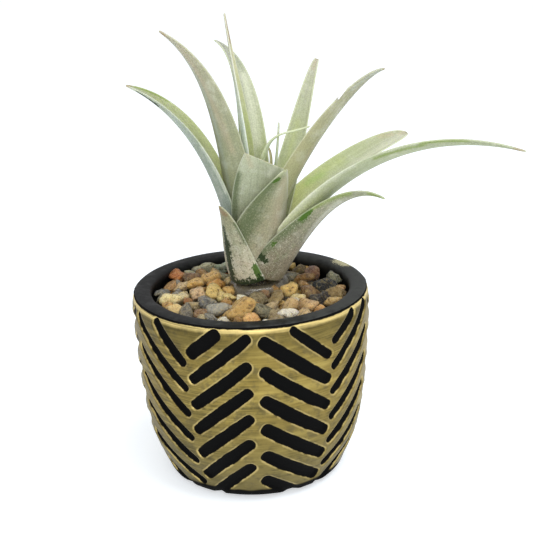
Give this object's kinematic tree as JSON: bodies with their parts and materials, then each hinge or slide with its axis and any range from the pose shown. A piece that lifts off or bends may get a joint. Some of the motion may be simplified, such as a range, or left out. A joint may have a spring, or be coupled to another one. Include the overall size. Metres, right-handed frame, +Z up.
{
  "type": "potted air plant",
  "caption": "Small leaf rosette set on river gravel in a rounded tub with a sunk herringbone pattern.",
  "frame": {"origin": "middle of the pot's flat bottom", "axes": "+Z up, out of the pot's mouth; -Y towards the front, where the cut leaf stubs are; +X towards the longest leaf"},
  "size_m": [0.1337, 0.082, 0.158],
  "materials": {
    "pot": "satin",
    "gravel": "satin",
    "glue": "gloss",
    "stem": "matte",
    "leaf": "matte",
    "young_leaf": "matte"
  },
  "bodies": {
    "root": {"pot": "pot", "gravel": "gravel", "glue_drop": "glue", "stem_core": "stem", "stub_front_left": "leaf", "leaf_right_low": "leaf", "stub_front_right": "leaf", "leaf_left_low": "leaf", "stub_front": "leaf", "leaf_right_long": "leaf", "leaf_left_tall": "leaf", "leaf_right_blunt": "leaf", "leaf_right_high": "leaf", "leaf_back_right": "leaf", "leaf_back": "leaf", "leaf_upright": "leaf", "leaf_needle": "young_leaf", "leaf_young_inner": "young_leaf", "leaf_young": "young_leaf"}
  },
  "joints": []
}
